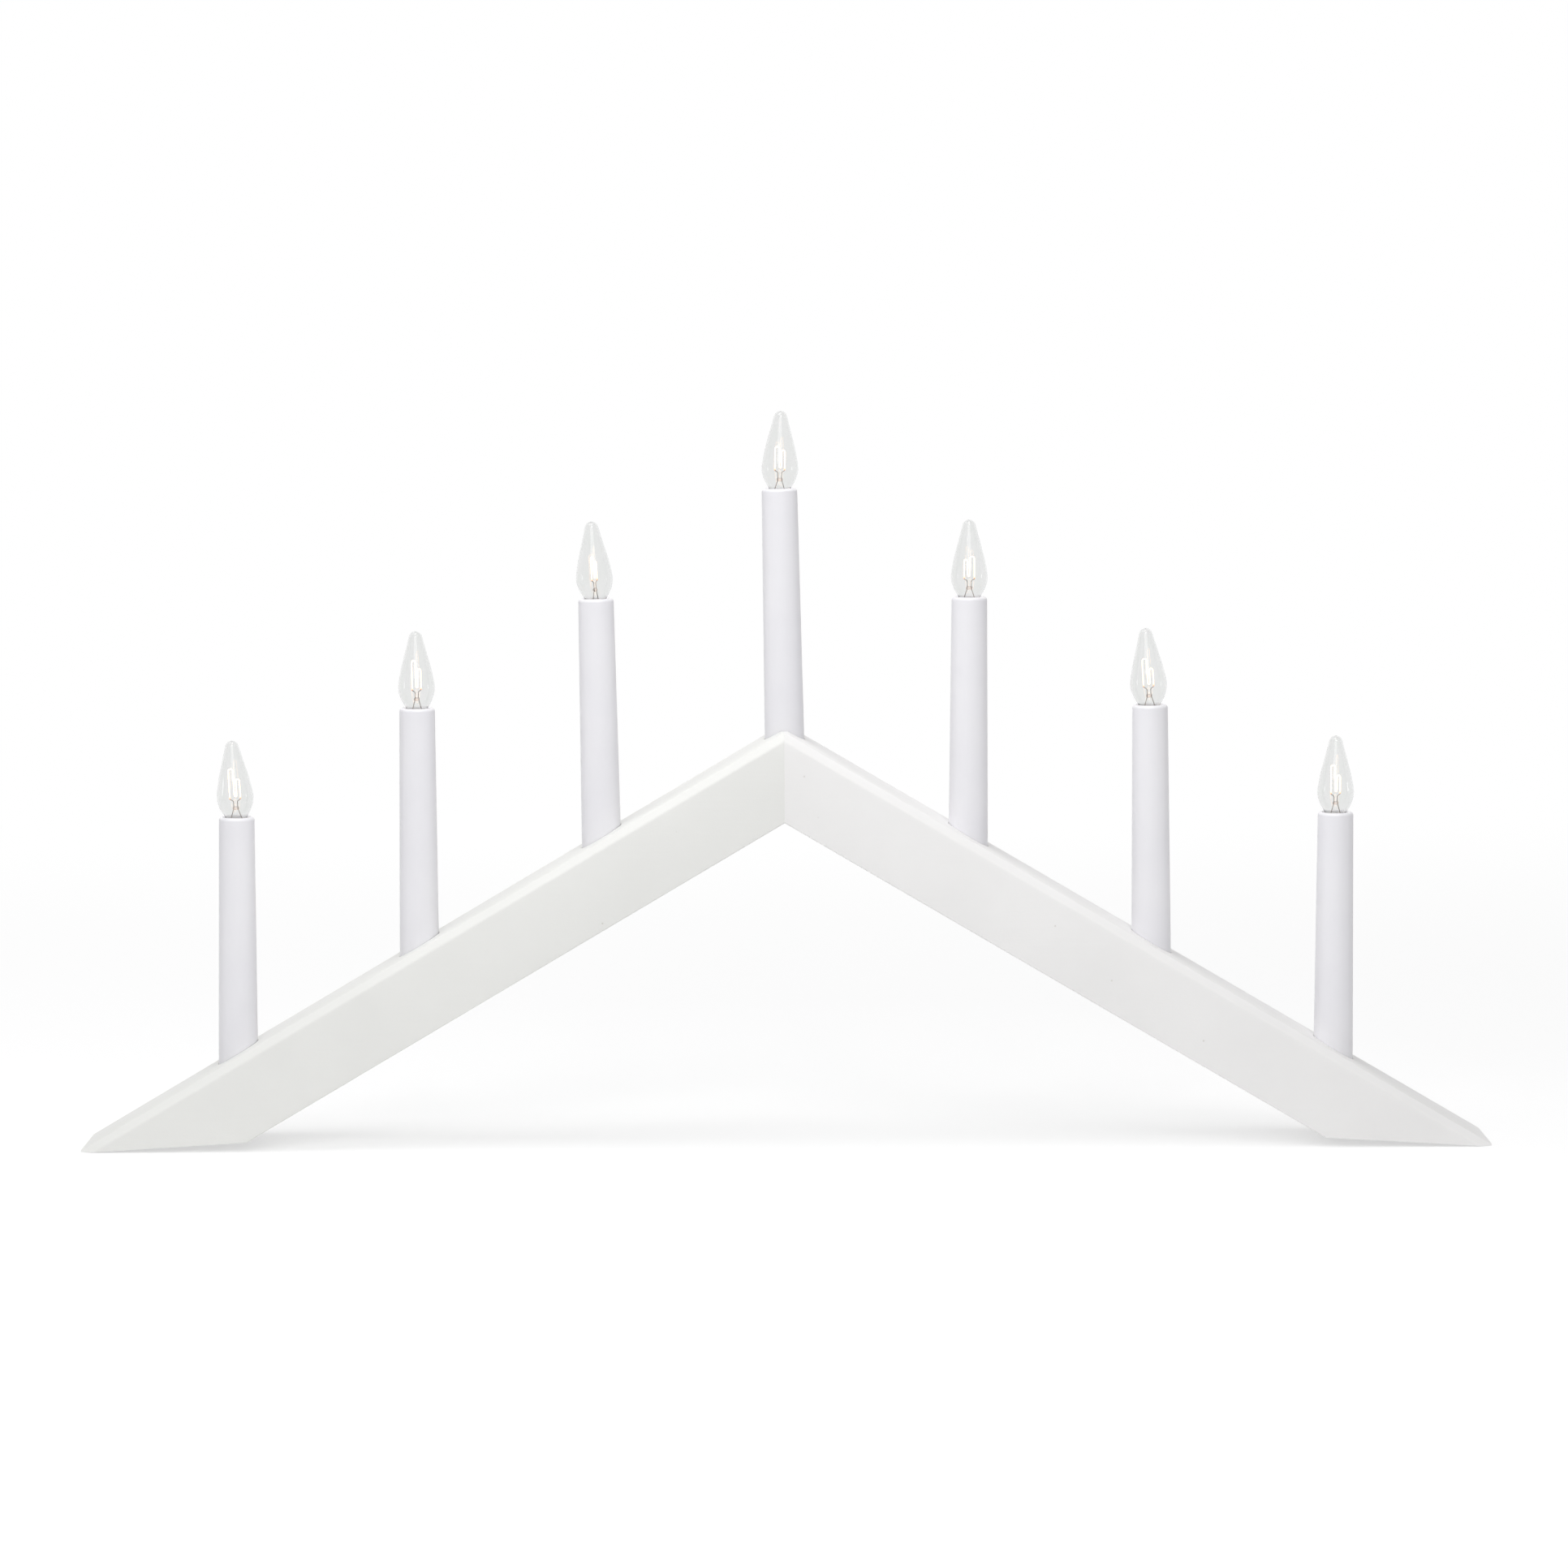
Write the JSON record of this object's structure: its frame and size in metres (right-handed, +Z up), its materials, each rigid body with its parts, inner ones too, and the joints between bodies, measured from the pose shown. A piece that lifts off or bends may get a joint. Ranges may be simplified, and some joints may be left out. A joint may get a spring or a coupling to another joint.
{
  "type": "electric candlestick",
  "caption": "Chevron window-sill candlestick of white painted boards carrying electric candles with small clear screw lamps, wired in series through a covered groove.",
  "frame": {"origin": "on the table, midway between the foot tips, under the ridge where the two boards meet", "axes": "+X along the chevron to the right arm's tip, -Y the front, +Z up along the candles"},
  "size_m": [0.614, 0.045, 0.3195],
  "materials": {
    "painted_board": "white satin paint",
    "dowel": "bare beech",
    "candle_tube": "white satin plastic",
    "lamp_holder": "ivory plastic",
    "contact_sleeve": "plain brass",
    "lamp_cap": "bright rolled thread",
    "lamp_glass": "clear, polished",
    "lamp_filament": "glowing loops on bright leads",
    "wire": "white insulation"
  },
  "bodies": {
    "candlestick": {"left_arm": "painted_board", "right_arm": "painted_board", "left_cover_strip": "painted_board", "right_cover_strip": "painted_board", "mitre_dowel_front": "dowel", "mitre_dowel_back": "dowel", "candle_tube_1": "candle_tube", "candle_tube_2": "candle_tube", "candle_tube_3": "candle_tube", "candle_tube_4": "candle_tube", "candle_tube_5": "candle_tube", "candle_tube_6": "candle_tube", "candle_tube_7": "candle_tube", "lamp_holder_1": "lamp_holder", "lamp_holder_2": "lamp_holder", "lamp_holder_3": "lamp_holder", "lamp_holder_4": "lamp_holder", "lamp_holder_5": "lamp_holder", "lamp_holder_6": "lamp_holder", "lamp_holder_7": "lamp_holder", "contact_sleeve_1": "contact_sleeve", "contact_sleeve_2": "contact_sleeve", "contact_sleeve_3": "contact_sleeve", "contact_sleeve_4": "contact_sleeve", "contact_sleeve_5": "contact_sleeve", "contact_sleeve_6": "contact_sleeve", "contact_sleeve_7": "contact_sleeve", "link_wire_1_2": "wire", "link_wire_2_3": "wire", "link_wire_3_4": "wire", "link_wire_4_5": "wire", "link_wire_5_6": "wire", "link_wire_6_7": "wire", "supply_lead_near": "wire", "supply_lead_far": "wire"},
    "lamp_1_screw": {"lamp_cap_1": "lamp_cap"},
    "lamp_2_screw": {"lamp_cap_2": "lamp_cap"},
    "lamp_3_screw": {"lamp_cap_3": "lamp_cap"},
    "lamp_4_screw": {"lamp_cap_4": "lamp_cap"},
    "lamp_5_screw": {"lamp_cap_5": "lamp_cap"},
    "lamp_6_screw": {"lamp_cap_6": "lamp_cap"},
    "lamp_7_screw": {"lamp_cap_7": "lamp_cap"},
    "lamp_1_bulb": {"lamp_glass_1": "lamp_glass", "lamp_filament_1": "lamp_filament"},
    "lamp_2_bulb": {"lamp_glass_2": "lamp_glass", "lamp_filament_2": "lamp_filament"},
    "lamp_3_bulb": {"lamp_glass_3": "lamp_glass", "lamp_filament_3": "lamp_filament"},
    "lamp_4_bulb": {"lamp_glass_4": "lamp_glass", "lamp_filament_4": "lamp_filament"},
    "lamp_5_bulb": {"lamp_glass_5": "lamp_glass", "lamp_filament_5": "lamp_filament"},
    "lamp_6_bulb": {"lamp_glass_6": "lamp_glass", "lamp_filament_6": "lamp_filament"},
    "lamp_7_bulb": {"lamp_glass_7": "lamp_glass", "lamp_filament_7": "lamp_filament"}
  },
  "joints": [
    {"name": "lamp_1_lift", "type": "slide", "parent": "candlestick", "child": "lamp_1_screw", "axis": [0.0105, 0, 0.9999], "range_m": [0, 0.00726]},
    {"name": "lamp_2_lift", "type": "slide", "parent": "candlestick", "child": "lamp_2_screw", "axis": [0.0035, 0, 1], "range_m": [0, 0.00726]},
    {"name": "lamp_3_lift", "type": "slide", "parent": "candlestick", "child": "lamp_3_screw", "axis": [-0.014, 0, 0.9999], "range_m": [0, 0.00726]},
    {"name": "lamp_4_lift", "type": "slide", "parent": "candlestick", "child": "lamp_4_screw", "axis": [-0.0157, 0, 0.9999], "range_m": [0, 0.00726]},
    {"name": "lamp_5_lift", "type": "slide", "parent": "candlestick", "child": "lamp_5_screw", "axis": [0.0052, 0, 1], "range_m": [0, 0.00726]},
    {"name": "lamp_6_lift", "type": "slide", "parent": "candlestick", "child": "lamp_6_screw", "axis": [-0.0087, 0, 1], "range_m": [0, 0.00726]},
    {"name": "lamp_7_lift", "type": "slide", "parent": "candlestick", "child": "lamp_7_screw", "axis": [0.0017, 0, 1], "range_m": [0, 0.00726]},
    {"name": "lamp_1_turn", "type": "hinge", "parent": "lamp_1_screw", "child": "lamp_1_bulb", "pos_m": [-0.23891, 0, 0.14432], "axis": [0.0105, 0, 0.9999], "range_deg": [0, 1440]},
    {"name": "lamp_2_turn", "type": "hinge", "parent": "lamp_2_screw", "child": "lamp_2_bulb", "pos_m": [-0.15964, 0, 0.19163], "axis": [0.0035, 0, 1], "range_deg": [0, 1440]},
    {"name": "lamp_3_turn", "type": "hinge", "parent": "lamp_3_screw", "child": "lamp_3_bulb", "pos_m": [-0.08145, 0, 0.23894], "axis": [-0.014, 0, 0.9999], "range_deg": [0, 1440]},
    {"name": "lamp_4_turn", "type": "hinge", "parent": "lamp_4_screw", "child": "lamp_4_bulb", "pos_m": [-0.00163, 0, 0.28625], "axis": [-0.0157, 0, 0.9999], "range_deg": [0, 1440]},
    {"name": "lamp_5_turn", "type": "hinge", "parent": "lamp_5_screw", "child": "lamp_5_bulb", "pos_m": [0.08054, 0, 0.23895], "axis": [0.0052, 0, 1], "range_deg": [0, 1440]},
    {"name": "lamp_6_turn", "type": "hinge", "parent": "lamp_6_screw", "child": "lamp_6_bulb", "pos_m": [0.15909, 0, 0.19163], "axis": [-0.0087, 0, 1], "range_deg": [0, 1440]},
    {"name": "lamp_7_turn", "type": "hinge", "parent": "lamp_7_screw", "child": "lamp_7_bulb", "pos_m": [0.24018, 0, 0.14432], "axis": [0.0017, 0, 1], "range_deg": [0, 1440]}
  ],
  "couplings": [
    {"joint": "lamp_1_lift", "follows": "lamp_1_turn", "m_per_rad": 0.00028864},
    {"joint": "lamp_2_lift", "follows": "lamp_2_turn", "m_per_rad": 0.00028864},
    {"joint": "lamp_3_lift", "follows": "lamp_3_turn", "m_per_rad": 0.00028864},
    {"joint": "lamp_4_lift", "follows": "lamp_4_turn", "m_per_rad": 0.00028864},
    {"joint": "lamp_5_lift", "follows": "lamp_5_turn", "m_per_rad": 0.00028864},
    {"joint": "lamp_6_lift", "follows": "lamp_6_turn", "m_per_rad": 0.00028864},
    {"joint": "lamp_7_lift", "follows": "lamp_7_turn", "m_per_rad": 0.00028864}
  ]
}
